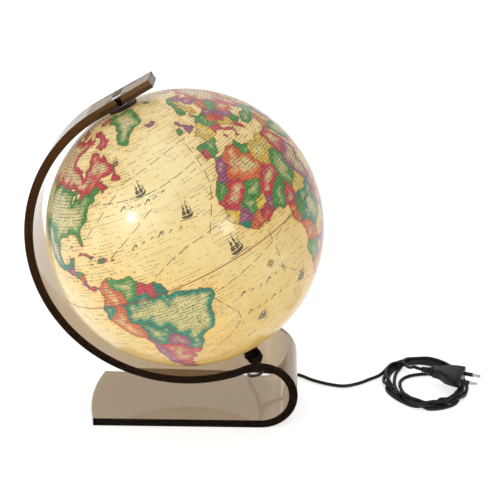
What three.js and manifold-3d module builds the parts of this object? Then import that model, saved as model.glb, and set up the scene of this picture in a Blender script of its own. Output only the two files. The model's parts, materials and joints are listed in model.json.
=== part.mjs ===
// Desktop globe on a bent smoked-acrylic stand, with its lamp, pivots, mains cord and plug.
// Millimetres. +Z is up, the stand bends in the XZ plane, -Y is the side it is looked at from.
// The origin is on the table under the middle of the stand and globe.
import * as THREE from 'three';
import { mergeVertices } from 'three/addons/utils/BufferGeometryUtils.js';
import Module from 'manifold-3d';

const wasm = await Module();
wasm.setup();

// ---- driving dimensions ----
const GLOBE_R = 150;          // outside of the globe's shell
const SHELL_T = 2;            // wall of each hemisphere
const TILT = 25;              // degrees between the polar axis and the vertical
const SHEET_T = 9.5;          // thickness of the acrylic sheet
const ARM_R = 161;            // bend radius of the arm, mid-sheet
const ARM_OFF = [-5, -5.5];   // centre of the arm's bend from the globe's centre (x, z)
const ARM_FROM = 121;         // degrees, where the bend starts below the straight tip
const ARM_TO = 297;           // degrees, where the arm turns into the foot loop
const TIP_L = 65;             // straight tip of the arm, past the pivot
const LOOP_R = 36.25;         // bend radius of the foot loop, mid-sheet
const BASE_L = 188;           // flat foot, from under the loop's middle to its corners
const END_BULGE = 7;          // how far the foot's end curves out between its corners
const HALF_TIP = 15.5;        // half widths of the sheet along its length
const HALF_LOOP = 47.5;
const HALF_BASE = 52;
const GAP = 0.3;              // clearance kept between touching pieces
const CORD_R = 2.1;           // radius of the mains cord
const COIL = { x: 289, y: 53, ring: 40, tube: 7.5, long: 1.2 };
const PLUG_AT = [291, 55, 18.2];  // where the plug lies on top of the coil
const PLUG_TURN = -20;        // degrees, the way the plug points on the table

// ---- the frame ----
const rad = Math.PI / 180;
const loopC = [
  ARM_OFF[0] + (ARM_R + LOOP_R) * Math.cos(ARM_TO * rad),
  ARM_OFF[1] + (ARM_R + LOOP_R) * Math.sin(ARM_TO * rad),
];
const GLOBE_X = (ARM_R + SHEET_T / 2 - ARM_OFF[0] - GLOBE_R) / 2;
const GLOBE_Z = -(loopC[1] - LOOP_R - SHEET_T / 2);

const part = new THREE.Group();
part.name = 'desktop_globe_on_stand';

function material(color, roughness, metalness = 0, opacity = 1) {
  return new THREE.MeshStandardMaterial({
    color, roughness, metalness, opacity, transparent: opacity < 1,
  });
}
const LOOKS = {
  acrylic: () => material(0x8f8377, 0.08, 0, 0.55),
  black: () => material(0x141414, 0.35),
  map: () => material(0xd9bf83, 0.3),
  steel: () => material(0xb8b8b8, 0.35, 1),
  brass: () => material(0xc9a45a, 0.35, 1),
  glass: () => material(0xf4f4ee, 0.05, 0, 0.35),
  white: () => material(0xe6e2d6, 0.4),
};

function add(name, geometry, look) {
  const mesh = new THREE.Mesh(geometry, LOOKS[look]());
  mesh.name = name;
  part.add(mesh);
  return mesh;
}

// ---- solids ----
function plain(geometry) {
  const g = geometry.index ? geometry : mergeVertices(geometry);
  g.deleteAttribute('normal');
  g.deleteAttribute('uv');
  return mergeVertices(g, 1e-5);
}
function toManifold(geometry) {
  const g = plain(geometry.clone());
  return new wasm.Manifold(new wasm.Mesh({
    numProp: 3,
    vertProperties: new Float32Array(g.attributes.position.array),
    triVerts: new Uint32Array(g.index.array),
  }));
}
function fromManifold(solid) {
  const m = solid.getMesh();
  const g = new THREE.BufferGeometry();
  g.setAttribute('position', new THREE.BufferAttribute(new Float32Array(m.vertProperties), 3));
  g.setIndex(new THREE.BufferAttribute(new Uint32Array(m.triVerts), 1));
  g.computeVertexNormals();
  return g;
}
function cut(body, ...tools) {
  return fromManifold(tools.reduce((a, t) => a.subtract(toManifold(t)), toManifold(body)));
}

// A turned piece. Profile points are [radius, height], listed round the section either way.
function turned(profile, sides = 24) {
  const pts = profile.map(([r, h]) => new THREE.Vector2(r, h));
  if (THREE.ShapeUtils.area(pts) < 0) pts.reverse();
  if (profile[0][0] > 0 || profile.at(-1)[0] > 0) pts.push(pts[0].clone());
  return new THREE.LatheGeometry(pts, sides);
}
// A plain ring or disc between two heights.
function ring(inner, outer, low, high, sides = 24) {
  if (inner <= 0) return turned([[0, low], [outer, low], [outer, high], [0, high]], sides);
  return turned([[inner, low], [outer, low], [outer, high], [inner, high]], sides);
}
// Stand a turned piece on the polar axis: its height is then the distance from the globe's centre.
function onAxis(geometry) {
  geometry.rotateX(Math.PI / 2);
  geometry.rotateY(-TILT * rad);
  geometry.translate(GLOBE_X, 0, GLOBE_Z);
  return geometry;
}
// The same, for pieces below the globe: heights are counted down from its centre.
function below(profile, sides = 24) {
  return onAxis(turned(profile.map(([r, d]) => [r, -d]), sides));
}
function belowRing(inner, outer, near, far, sides = 24) {
  return onAxis(ring(inner, outer, -far, -near, sides));
}
function axisPoint(distance) {
  return new THREE.Vector3(
    GLOBE_X - distance * Math.sin(TILT * rad), 0, GLOBE_Z + distance * Math.cos(TILT * rad));
}

// ---- the acrylic sheet: one long tapering strip, bent into arm, loop and foot ----
function sheetLine() {
  // Mid-sheet line from the arm's tip to the foot's end: x, z and the outward normal.
  const line = [];
  const a0 = ARM_FROM * rad;
  const start = [ARM_OFF[0] + ARM_R * Math.cos(a0), ARM_OFF[1] + ARM_R * Math.sin(a0)];
  const up = [Math.sin(a0), -Math.cos(a0)];
  for (let i = 0; i < 4; i++) {
    const s = TIP_L * (1 - i / 4);
    line.push({ x: start[0] + up[0] * s, z: start[1] + up[1] * s, nx: Math.cos(a0), nz: Math.sin(a0) });
  }
  const armSteps = 48;
  for (let i = 0; i <= armSteps; i++) {
    const a = (ARM_FROM + (ARM_TO - ARM_FROM) * i / armSteps) * rad;
    line.push({
      x: ARM_OFF[0] + ARM_R * Math.cos(a), z: ARM_OFF[1] + ARM_R * Math.sin(a),
      nx: Math.cos(a), nz: Math.sin(a),
    });
  }
  const loopSteps = 28;
  const from = ARM_TO - 180;
  for (let i = 1; i <= loopSteps; i++) {
    const a = (from + (-90 - from) * i / loopSteps) * rad;
    line.push({
      x: loopC[0] + LOOP_R * Math.cos(a), z: loopC[1] + LOOP_R * Math.sin(a),
      nx: -Math.cos(a), nz: -Math.sin(a),
    });
  }
  const zb = loopC[1] - LOOP_R;
  for (let i = 1; i <= 5; i++) line.push({ x: loopC[0] - BASE_L * i / 5, z: zb, nx: 0, nz: 1 });
  let run = 0;
  line.forEach((p, i) => {
    if (i) run += Math.hypot(p.x - line[i - 1].x, p.z - line[i - 1].z);
    p.s = run;
  });
  const sLoop = line[4 + armSteps + 7].s;
  const sEnd = run;
  for (const p of line) {
    p.w = p.s < sLoop
      ? HALF_TIP + (HALF_LOOP - HALF_TIP) * p.s / sLoop
      : HALF_LOOP + (HALF_BASE - HALF_LOOP) * (p.s - sLoop) / (sEnd - sLoop);
  }
  // The rounded end of the foot.
  const endR = (HALF_BASE ** 2 + END_BULGE ** 2) / (2 * END_BULGE);
  const xEnd = loopC[0] - BASE_L;
  const half = Math.asin(HALF_BASE / endR);
  const endSteps = 9;
  for (let i = 1; i <= endSteps; i++) {
    const a = half * (1 - i / (endSteps + 0.5));
    const bulge = endR * Math.cos(a) - (endR - END_BULGE);
    line.push({ x: xEnd - bulge, z: zb, nx: 0, nz: 1, w: endR * Math.sin(a) });
  }
  return line;
}
function sheetSolid() {
  const line = sheetLine();
  const h = SHEET_T / 2;
  const pos = [];
  for (const p of line) {
    for (const [side, out] of [[-1, 1], [1, 1], [1, -1], [-1, -1]]) {
      pos.push(GLOBE_X + p.x + p.nx * h * out, side * p.w, GLOBE_Z + p.z + p.nz * h * out);
    }
  }
  const idx = [];
  for (let i = 0; i < line.length - 1; i++) {
    for (let k = 0; k < 4; k++) {
      const a = i * 4 + k, b = i * 4 + (k + 1) % 4, c = a + 4, d = b + 4;
      idx.push(a, b, c, b, d, c);
    }
  }
  const e = (line.length - 1) * 4;
  idx.push(0, 2, 1, 0, 3, 2, e, e + 1, e + 2, e, e + 2, e + 3);
  const g = new THREE.BufferGeometry();
  g.setAttribute('position', new THREE.BufferAttribute(new Float32Array(pos), 3));
  g.setIndex(idx);
  return g;
}
const northHole = onAxis(turned([
  [0, 150], [3.3, 150], [3.3, 161.2], [9.3, 167.2], [9.3, 172], [0, 172],
], 20));
const southHole = belowRing(0, 5.3, 150, 180, 40);
add('acrylic_stand', cut(sheetSolid(), northHole, southHole), 'acrylic');

// ---- north pivot ----
add('north_pivot_pin', onAxis(turned([
  [0, 128], [2.6, 128], [3, 128.6], [3, 161.3], [5.3, 163.6], [5, 163.9], [0, 163.9],
], 20)), 'steel');
add('pin_retaining_ring', onAxis(ring(3 + GAP, 6.5, 131.5, 133.5, 20)), 'steel');
add('north_washer', onAxis(ring(3 + GAP, 8, 152.4, 153.5, 20)), 'white');
add('polar_cap_disc', onAxis(turned([
  [3.6, 150.3], [16, 150.3], [16, 151.3], [15, 152], [3.6, 152.1],
], 24)), 'black');
add('north_bush', onAxis(turned([
  [3.3, 134], [7, 134], [7, 143.5], [11, 144.5], [11, 147.2], [5.7, 147.2], [5.7, 150], [3.3, 150],
], 20)), 'black');

// ---- the globe's shell ----
function hemisphere(poleHole, low) {
  // Shell from the equator joint up to the pole opening, as a closed profile.
  const outer = [], inner = [];
  const ri = GLOBE_R - SHELL_T;
  const steps = 10;
  const a0 = Math.asin(low / GLOBE_R), a1 = Math.acos(poleHole / GLOBE_R);
  const b0 = Math.asin(low / ri), b1 = Math.acos(poleHole / ri);
  for (let i = 0; i <= steps; i++) {
    const a = a0 + (a1 - a0) * i / steps;
    const b = b1 + (b0 - b1) * i / steps;
    outer.push([GLOBE_R * Math.cos(a), GLOBE_R * Math.sin(a)]);
    inner.push([ri * Math.cos(b), ri * Math.sin(b)]);
  }
  return outer.concat(inner);
}
add('north_hemisphere', onAxis(turned(hemisphere(6, GAP / 2), 48)), 'map');
add('south_hemisphere', below(hemisphere(24, GAP / 2), 48), 'map');
const seat = Math.sqrt((GLOBE_R - SHELL_T) ** 2 - 49) - 0.9;
add('equator_joint_ring', onAxis(ring(seat - 1.8, seat, -7, 7, 48)), 'white');
add('south_bearing_ring', below([
  [14.6, 140], [14.6, 150.4], [27, 150.4], [27, 148.5], [23.6, 148.5], [23.6, 140],
], 28), 'black');

// ---- lamp holder in the south pole ----
add('holder_sleeve', below([
  [14.3, 92], [12.3, 92], [12.3, 150], [5.3, 150], [5.3, 151.7], [14.3, 151.7],
], 24), 'black');
add('holder_flange', below([
  [19, 152], [5.3, 152], [5.3, 156.6], [17, 156.6], [19, 155],
], 28), 'black');
add('seat_washer', belowRing(5.3, 9, 156.9, 157.9, 20), 'black');
function hexNut(bore, corner, near, far) {
  const hex = new THREE.Shape();
  for (let i = 0; i < 6; i++) {
    const a = i * Math.PI / 3;
    if (i) hex.lineTo(corner * Math.cos(a), corner * Math.sin(a)); else hex.moveTo(corner, 0);
  }
  hex.closePath();
  const hole = new THREE.Path();
  hole.absarc(0, 0, bore, 0, 2 * Math.PI, true);
  hex.holes.push(hole);
  const g = new THREE.ExtrudeGeometry(hex, { depth: far - near, bevelEnabled: false, curveSegments: 12 });
  g.rotateX(-Math.PI / 2);
  g.translate(0, -far, 0);
  return onAxis(g);
}
add('threaded_nipple', belowRing(3.2, 5, 142, 176.5, 20), 'brass');
add('inner_nut', hexNut(5.3, 9.5, 146, 149.7), 'steel');
add('holder_insulator', below([
  [12, 126], [3, 126], [3, 134], [6.2, 134], [6.2, 137], [12, 137],
], 20), 'white');
add('thread_shell', belowRing(7.4, 8, 102, 125.7, 24), 'brass');
add('centre_contact', belowRing(0, 3, 124.9, 125.7, 24), 'brass');
add('lower_washer', belowRing(5.3, 8, 170.4, 171.5, 20), 'steel');
add('lock_nut', hexNut(5.3, 8, 171.8, 176.5), 'steel');
add('cord_gland', below([
  [8, 176.8], [2.5, 176.8], [2.5, 190], [4.6, 190], [6.4, 187.5], [8.6, 184.5], [8.6, 179],
], 20), 'black');
add('cord_lead', belowRing(0, CORD_R, 138, 189.7, 12), 'black');

// ---- bulb ----
{
  // From the dome down the outside to the open neck, and back up the inside.
  const outside = [], inside = [];
  const steps = 7;
  for (let i = 0; i <= steps; i++) {
    const a = (90 - 152 * i / steps) * rad;
    outside.push([i ? 22 * Math.cos(a) : 0, 62 - 22 * Math.sin(a)]);
    inside.push([i ? 21.2 * Math.cos(a) : 0, 62 - 21.2 * Math.sin(a)]);
  }
  add('bulb_glass', below([...outside, [6.4, 99.6], [5.6, 99.6], ...inside.reverse()], 20), 'glass');
}
add('bulb_cap', below([
  [0, 123.6], [4.5, 123.6], [6.6, 121], [6.9, 100], [0, 100],
], 24), 'steel');
add('bulb_tip', belowRing(0, 2.2, 123.9, 124.6, 20), 'steel');
add('bulb_stem', below([
  [0, 99.7], [4.8, 99.7], [2.6, 92], [2.2, 76], [0, 76],
], 24), 'glass');
{
  const f = new THREE.TorusGeometry(9, 0.5, 6, 24);
  f.rotateX(Math.PI / 2);
  f.translate(0, -70, 0);
  add('bulb_filament', onAxis(f), 'steel');
}

// ---- mains cord, coil and plug ----
function cordTube(points, radius, steps, sides) {
  const path = new THREE.CatmullRomCurve3(points, false, 'centripetal');
  const shape = new THREE.Shape();
  for (let i = 0; i < sides; i++) {
    const a = 2 * Math.PI * i / sides;
    const [x, y] = [radius * Math.cos(a), radius * Math.sin(a)];
    if (i) shape.lineTo(x, y); else shape.moveTo(x, y);
  }
  shape.closePath();
  return new THREE.ExtrudeGeometry(shape, { steps, extrudePath: path, bevelEnabled: false });
}
const V = (x, y, z) => new THREE.Vector3(x, y, z);
const rest = CORD_R + 0.1;
add('mains_cord', cordTube([
  axisPoint(-190.3), axisPoint(-197), V(94.5, 9, 37), V(89, 27, 23), V(80.5, 42, 13.4),
  V(79.5, 53, 11.4), V(90, 63, 7), V(112, 68, rest), V(138, 65, rest), V(156, 53, rest),
  V(176, 44, rest), V(193, 41, rest), V(211, 48, rest), V(226, 59, rest), V(239, 68, rest),
], CORD_R, 60, 8), 'black');
{
  const pts = [];
  for (let i = 0; i < 10; i++) {
    const a = 2 * Math.PI * i / 10;
    pts.push(new THREE.Vector2(COIL.ring + COIL.tube * Math.cos(a), 5.3 + 5.2 * Math.sin(a)));
  }
  pts.push(pts[0].clone());
  const g = new THREE.LatheGeometry(pts, 36);
  g.rotateX(Math.PI / 2);
  g.scale(1, COIL.long, 1);
  g.translate(COIL.x, COIL.y, 0);
  add('cord_coil', g, 'black');
}
// The plug lies on the coil. Its own x runs from the cord to the pins.
function onPlug(geometry) {
  geometry.rotateZ(PLUG_TURN * rad);
  geometry.translate(...PLUG_AT);
  return geometry;
}
function alongPlug(geometry, x, y) {
  geometry.rotateZ(-Math.PI / 2);
  geometry.translate(x, y, 0);
  return onPlug(geometry);
}
{
  const s = new THREE.Shape();
  s.moveTo(8, -6);
  s.lineTo(16, -8);
  s.lineTo(34, -17);
  s.lineTo(44, -17);
  s.lineTo(44, 17);
  s.lineTo(34, 17);
  s.lineTo(16, 8);
  s.lineTo(8, 6);
  s.closePath();
  const g = new THREE.ExtrudeGeometry(s, {
    depth: 10, bevelEnabled: true, bevelThickness: 2, bevelSize: 2, bevelOffset: -2, bevelSegments: 2,
  });
  g.translate(0, 0, -5);
  add('plug_body', onPlug(g), 'black');
}
add('plug_collar', alongPlug(turned([
  [0, -6], [3.4, -6], [4.4, -2], [4.4, 7.7], [0, 7.7],
], 24), 0, 0), 'black');
for (const [side, y] of [['near', -9.5], ['far', 9.5]]) {
  add(`plug_pin_sleeve_${side}`, alongPlug(ring(2, 2.4, 44.3, 54, 12), 0, y), 'black');
  add(`plug_pin_${side}`, alongPlug(turned([
    [0, 44.3], [1.7, 44.3], [1.7, 54.3], [2, 54.3], [2, 62], [1.2, 63], [0, 63],
  ], 12), 0, y), 'steel');
}

export default part;
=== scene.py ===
"""Looks of a lit desktop globe on a bent smoked-acrylic stand, with its cord and plug."""

import json
import math

import bpy
import bmesh
import numpy as np
from mathutils import Matrix, Vector
from mathutils.kdtree import KDTree


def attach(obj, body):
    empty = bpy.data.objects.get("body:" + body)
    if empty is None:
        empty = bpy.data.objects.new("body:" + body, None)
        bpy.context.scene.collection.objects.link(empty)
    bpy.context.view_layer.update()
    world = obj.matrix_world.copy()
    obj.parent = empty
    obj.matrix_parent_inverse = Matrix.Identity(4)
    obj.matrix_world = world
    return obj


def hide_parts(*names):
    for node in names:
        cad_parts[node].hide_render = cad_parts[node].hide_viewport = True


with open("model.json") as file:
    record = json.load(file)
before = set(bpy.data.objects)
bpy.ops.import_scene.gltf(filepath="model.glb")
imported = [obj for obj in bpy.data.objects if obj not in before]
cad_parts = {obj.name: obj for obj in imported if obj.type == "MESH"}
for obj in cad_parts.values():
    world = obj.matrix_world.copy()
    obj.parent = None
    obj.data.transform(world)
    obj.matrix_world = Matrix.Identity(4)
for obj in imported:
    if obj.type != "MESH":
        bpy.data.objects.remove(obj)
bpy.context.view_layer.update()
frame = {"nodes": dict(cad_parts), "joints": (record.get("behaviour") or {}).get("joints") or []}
NODES = frame["nodes"]
SPIN = next(j for j in frame["joints"] if j["name"] == "globe_spin")
CENTRE = Vector(SPIN["pos_m"])
AXIS = Vector(SPIN["axis"]).normalized()
TILT = math.atan2(-AXIS.x, AXIS.z)
MM = 0.001
R = 150.0                 # globe radius in mm
FACING = -47.8            # longitude that looks towards -Y
RNG = np.random.default_rng(7)


# ---------------------------------------------------------------- camera
CAMERA_TURN = (1.27, 24.76, 0.55)        # azimuth, elevation and roll in degrees
CAMERA_AWAY, AIM_RIGHT, AIM_DOWN = 1.302, 0.0697, 0.0243
LENS, SENSOR = 86.4, 36


def add_camera():
    azimuth, elevation, roll = (math.radians(a) for a in CAMERA_TURN)
    back = Vector((math.sin(azimuth) * math.cos(elevation),
                   -math.cos(azimuth) * math.cos(elevation), math.sin(elevation)))
    level = Vector((math.cos(azimuth), math.sin(azimuth), 0))
    up = back.cross(level)
    right = level * math.cos(roll) + up * math.sin(roll)
    up = up * math.cos(roll) - level * math.sin(roll)
    aim = CENTRE + right * AIM_RIGHT - up * AIM_DOWN
    data = bpy.data.cameras.new("camera")
    data.lens, data.sensor_width = LENS, SENSOR
    data.clip_end = 50
    camera = bpy.data.objects.new("camera", data)
    turn = Matrix((right, up, back)).transposed().to_4x4()
    camera.matrix_world = Matrix.Translation(aim + back * CAMERA_AWAY) @ turn
    bpy.context.collection.objects.link(camera)
    bpy.context.scene.camera = camera


# ---------------------------------------------------------------- shader helpers
class Sum:
    """A node socket that can be used in Python expressions."""

    def __init__(self, maker, socket):
        self.maker, self.socket = maker, socket

    def _math(self, operation, *others):
        return self.maker.node("ShaderNodeMath", {"operation": operation}, *([self] + list(others)))

    def __add__(self, other):
        return self._math("ADD", other)

    def __sub__(self, other):
        return self._math("SUBTRACT", other)

    def __mul__(self, other):
        return self._math("MULTIPLY", other)

    def __truediv__(self, other):
        return self._math("DIVIDE", other)

    def __rsub__(self, other):
        return self.maker.node("ShaderNodeMath", {"operation": "SUBTRACT"}, other, self)

    __radd__, __rmul__ = __add__, __mul__

    def __gt__(self, other):
        return self._math("GREATER_THAN", other)

    def __lt__(self, other):
        return self._math("LESS_THAN", other)

    def lowest(self, other):
        return self._math("MINIMUM", other)

    def highest(self, other):
        return self._math("MAXIMUM", other)

    def size(self):
        return self._math("ABSOLUTE")

    def fall(self):
        """exp(-value)."""
        return self.maker.node("ShaderNodeMath", {"operation": "POWER"}, math.exp(-1), self)

    def part(self):
        return self._math("FRACT")

    def whole(self):
        return self._math("FLOOR")

    def cos(self):
        return self._math("COSINE")

    def ramp(self, low, high, out_low=0.0, out_high=1.0):
        return self.maker.node("ShaderNodeMapRange", {"clamp": True}, self, low, high, out_low, out_high)


class NodeMaker:
    """A node tree under construction: one method makes every node."""

    def node(self, kind, settings, *values, out=0, **named):
        node = self.tree.nodes.new(kind)
        for key, value in settings.items():
            setattr(node, key, value)
        for key, value in list(enumerate(values)) + list(named.items()):
            socket = node.inputs[key if isinstance(key, int) else key.replace("_", " ")]
            if isinstance(value, Sum):
                self.tree.links.new(value.socket, socket)
            else:
                socket.default_value = value
        return Sum(self, node.outputs[out])


class Layout(NodeMaker):
    """A geometry tree with named inputs, which sets out what repeats."""

    def __init__(self, name):
        self.tree = bpy.data.node_groups.new(name, "GeometryNodeTree")
        self.tree.is_modifier = True
        self.entry = self.tree.nodes.new("NodeGroupInput")
        self.guide = self.input("Guide", "Geometry")
        self.tree.interface.new_socket("Made", in_out="OUTPUT", socket_type="NodeSocketGeometry")

    def input(self, name, kind):
        self.tree.interface.new_socket(name, in_out="INPUT", socket_type="NodeSocket" + kind)
        return Sum(self, self.entry.outputs[name])

    def vector_math(self, operation, *values):
        return self.node("ShaderNodeVectorMath", {"operation": operation}, *values)

    def finish(self, geometry, material):
        """The tree's last step: the finish goes on and the geometry goes out."""
        made = self.node("GeometryNodeSetMaterial", {}, Geometry=geometry, Material=material)
        self.tree.links.new(made.socket, self.tree.nodes.new("NodeGroupOutput").inputs[0])
        return self

    def run(self, piece, **values):
        """Gives the inputs their values by identifier and keeps the result as plain mesh."""
        modifier = piece.modifiers.new(self.tree.name, "NODES")
        modifier.node_group = self.tree
        for item in self.tree.interface.items_tree:
            if item.in_out == "INPUT" and item.name.replace(" ", "_") in values:
                modifier[item.identifier] = values[item.name.replace(" ", "_")]
        finish_modifiers(piece)


class Material(NodeMaker):
    """A material under construction."""

    def __init__(self, name):
        self.material = bpy.data.materials.new(name)
        self.material.use_nodes = True
        self.tree = self.material.node_tree
        self.tree.nodes.clear()
        self.shader = self.tree.nodes.new("ShaderNodeBsdfPrincipled")
        self.output = self.tree.nodes.new("ShaderNodeOutputMaterial")
        self.tree.links.new(self.shader.outputs[0], self.output.inputs[0])

    def set(self, **values):
        for key, value in values.items():
            socket = self.shader.inputs[key.replace("_", " ")]
            if isinstance(value, Sum):
                self.tree.links.new(value.socket, socket)
            elif socket.type == "RGBA":
                socket.default_value = (*value, 1)
            else:
                socket.default_value = value
        return self

    def place(self):
        return self.node("ShaderNodeTexCoord", {}, out="Object")

    def attribute(self, name, out="Fac"):
        return self.node("ShaderNodeAttribute", {"attribute_name": name}, out=out)

    def split(self, vector):
        first = self.node("ShaderNodeSeparateXYZ", {}, vector)
        return [Sum(self, first.socket.node.outputs[i]) for i in range(3)]

    def vector(self, x, y, z=0.0):
        return self.node("ShaderNodeCombineXYZ", {}, x, y, z)

    def noise(self, scale, detail=2.0, rough=0.5, at=None):
        return self.node("ShaderNodeTexNoise", {}, at or self.place(), Scale=scale, Detail=detail,
                         Roughness=rough)

    def mix(self, amount, first, second, blend="MIX"):
        made = self.node("ShaderNodeMix", {"data_type": "RGBA", "blend_type": blend})
        node = made.socket.node
        for index, value in ((0, amount), (6, first), (7, second)):
            if isinstance(value, Sum):
                self.tree.links.new(value.socket, node.inputs[index])
            elif index == 0:
                node.inputs[0].default_value = value
            else:
                node.inputs[index].default_value = (*value, 1)
        return Sum(self, node.outputs[2])

    def bump(self, height, distance, strength=1.0):
        return self.node("ShaderNodeBump", {}, Height=height, Distance=distance, Strength=strength)


def linear(red, green, blue):
    """A colour named by its 0 to 255 screen values, as the linear values a shader needs."""
    shares = (red / 255, green / 255, blue / 255)
    return tuple(v / 12.92 if v <= 0.0404 else ((v + 0.055) / 1.055) ** 2.4 for v in shares)


# ---------------------------------------------------------------- mesh helpers
THIN = 0.0001             # mm, the radius where a turned profile meets its axis
WELD = 2e-7               # metres within which points of a turned piece become one


def loose_mesh(name, vertices, edges, faces):
    """An object that rides on nothing yet."""
    mesh = bpy.data.meshes.new(name)
    mesh.from_pydata([tuple(v) for v in vertices], edges, [tuple(f) for f in faces])
    made = bpy.data.objects.new(name, mesh)
    bpy.context.collection.objects.link(made)
    return made


def new_piece(name, vertices, faces, material, body):
    piece = loose_mesh(name, vertices, [], faces)
    piece.data.materials.append(material)
    piece.data.polygons.foreach_set("use_smooth", [True] * len(piece.data.polygons))
    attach(piece, body)
    return piece


def fix_faces(piece, merge=1e-7):
    made = bmesh.new()
    made.from_mesh(piece.data)
    bmesh.ops.remove_doubles(made, verts=made.verts, dist=merge)
    bmesh.ops.recalc_face_normals(made, faces=made.faces)
    made.to_mesh(piece.data)
    made.free()


def finish_modifiers(piece):
    """Turns what the modifiers give into the piece's own plain mesh."""
    seen = bpy.context.evaluated_depsgraph_get()
    mesh = bpy.data.meshes.new_from_object(piece.evaluated_get(seen))
    piece.modifiers.clear()
    piece.data = mesh


def along_axis(distance):
    """A point by its distance from the globe's centre on the polar axis (mm, north positive)."""
    return CENTRE + AXIS * distance * MM


def ring_faces(count, sides):
    """The faces of a closed profile of so many points that is turned round in so many steps."""
    faces = []
    for i in range(sides):
        for k in range(count):
            a, b = i * count + k, i * count + (k + 1) % count
            c, d = ((i + 1) % sides) * count + k, ((i + 1) % sides) * count + (k + 1) % count
            faces.append((a, b, d, c))
    return faces


def turned(name, profile, material, body, sides=64):
    """A turned piece on the polar axis from [radius, distance] points in mm, closed on itself."""
    sideways = Vector((math.cos(TILT), 0, math.sin(TILT)))
    vertices = []
    for i in range(sides):
        a = 2 * math.pi * i / sides
        direction = sideways * math.cos(a) + Vector((0, math.sin(a), 0))
        vertices += [CENTRE + AXIS * h * MM + direction * max(r, THIN) * MM for r, h in profile]
    piece = new_piece(name, vertices, ring_faces(len(profile), sides), material, body)
    fix_faces(piece, WELD)
    return piece


def soften_edges(piece, width, segments=2, angle=35):
    bevel = piece.modifiers.new("soft edges", "BEVEL")
    bevel.width, bevel.segments = width, segments
    bevel.limit_method, bevel.angle_limit = "ANGLE", math.radians(angle)
    bevel.harden_normals = True
    mark_sharp(piece, angle)
    finish_modifiers(piece)


def mark_sharp(piece, angle=30):
    piece.data.set_sharp_from_angle(angle=math.radians(angle))


# ---------------------------------------------------------------- cord and coil
D = 4.2                   # cord diameter in mm
CORD_LENGTH = 1800.0      # mm, the lead of a small table lamp
COIL_AT = (289.0, 53.0)   # middle of the coil on the table
COIL_TURNS, COIL_STEPS = 4.95, 40
COIL_RISE = 1.5           # mm that each turn lies higher than the one under it
HALF_WIDTH, HALF_DEPTH = 45.5, 54.5   # the outermost turn, before the length is shared out
PLUG_AT, PLUG_TURN = Vector((291, 55, 18.2)), math.radians(-20)


def through(points, spacing=2.0):
    """Centripetal Catmull-Rom line through the points, at an even spacing."""
    p = np.array(points, float)
    p = np.vstack([2 * p[0] - p[1], p, 2 * p[-1] - p[-2]])
    line = []
    for a, b, c, d in zip(p[:-3], p[1:-2], p[2:-1], p[3:]):
        t1 = np.linalg.norm(b - a) ** 0.5
        t2 = t1 + np.linalg.norm(c - b) ** 0.5
        t3 = t2 + np.linalg.norm(d - c) ** 0.5
        for t in np.linspace(t1, t2, 24, endpoint=False):
            a1 = a * (t1 - t) / t1 + b * t / t1
            a2 = b * (t2 - t) / (t2 - t1) + c * (t - t1) / (t2 - t1)
            a3 = c * (t3 - t) / (t3 - t2) + d * (t - t2) / (t3 - t2)
            b1 = a1 * (t2 - t) / t2 + a2 * t / t2
            b2 = a2 * (t3 - t) / (t3 - t1) + a3 * (t - t1) / (t3 - t1)
            line.append(b1 * (t2 - t) / (t2 - t1) + b2 * (t - t1) / (t2 - t1))
    line.append(p[-2])
    return evenly(np.array(line), spacing)


def evenly(line, spacing):
    run = np.concatenate([[0], np.cumsum(np.linalg.norm(np.diff(line, axis=0), axis=1))])
    marks = np.linspace(0, run[-1], max(2, int(round(run[-1] / spacing)) + 1))
    return np.stack([np.interp(marks, run, line[:, k]) for k in range(3)], axis=1)


def coil_turns(spread):
    """Loose turns on the table, spread out on the left and drawn together on the right."""
    turns = []
    left = (1.0, 0.93, 0.60, 0.99, 0.72, 0.93, 0.95)     # how far each turn reaches to each side
    back = (1.0, 0.94, 0.20, 0.86, 1.0, 0.9, 0.9)
    front = (0.98, 0.93, 1.03, 0.88, 1.0, 0.92, 0.95)
    right = (0.98, 0.90, 0.99, 0.93, 0.96, 0.90, 0.95)
    for i in range(int(COIL_TURNS * COIL_STEPS) + 1):
        turn = i / COIL_STEPS
        angle = math.radians(158 - 360 * turn)
        c, s = math.cos(angle), math.sin(angle)
        reach = [np.interp(turn, range(7), side) for side in (left, right, front, back)]
        half_x = spread * HALF_WIDTH * (reach[0] if c < 0 else reach[1])
        half_y = spread * HALF_DEPTH * (reach[2] if s < 0 else reach[3])
        skew = 5.0 * math.sin(2.1 * turn)
        turns.append((COIL_AT[0] + half_x * c + skew * s, COIL_AT[1] + half_y * s - skew * 0.6 * c,
                      2.2 + COIL_RISE * turn))
    return turns


def settle(line, held, rounds=260):
    """Pushes crossing strands apart, keeps them on the table and evens out the bends."""
    line = line.copy()
    count = len(line)
    index = np.arange(count)
    apart = np.abs(index[:, None] - index[None, :]) > 8
    free = (index > held) & (index < count - 4)
    for _ in range(rounds):
        gap = line[:, None, :] - line[None, :, :]
        far = np.sqrt((gap ** 2).sum(axis=2)) + 1e-6
        near = apart & (far < D * 1.03)
        push = np.where(near, (D * 1.03 - far) / far, 0)[:, :, None] * gap
        push[:, :, 2] *= 1.6
        move = 0.22 * push.sum(axis=1)
        bend = np.zeros_like(line)
        bend[1:-1] = (line[:-2] + line[2:]) / 2 - line[1:-1]
        stiff = np.zeros_like(line)
        stiff[1:-1] = bend[1:-1] - (bend[:-2] + bend[2:]) / 2
        move += 0.35 * stiff
        move[:, 2] -= 0.035
        line[free] += move[free]
        line[:, 2] = np.maximum(line[:, 2], D / 2 + 0.05)
    return line


def plug_point(x, y=0.0, z=0.0):
    """A point in mm from the plug's own x (cord to pins), y and z."""
    turn = Matrix.Rotation(PLUG_TURN, 3, "Z")
    return PLUG_AT + turn @ Vector((x, y, z))


def length_of(line):
    return float(np.linalg.norm(np.diff(line, axis=0), axis=1).sum())


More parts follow.
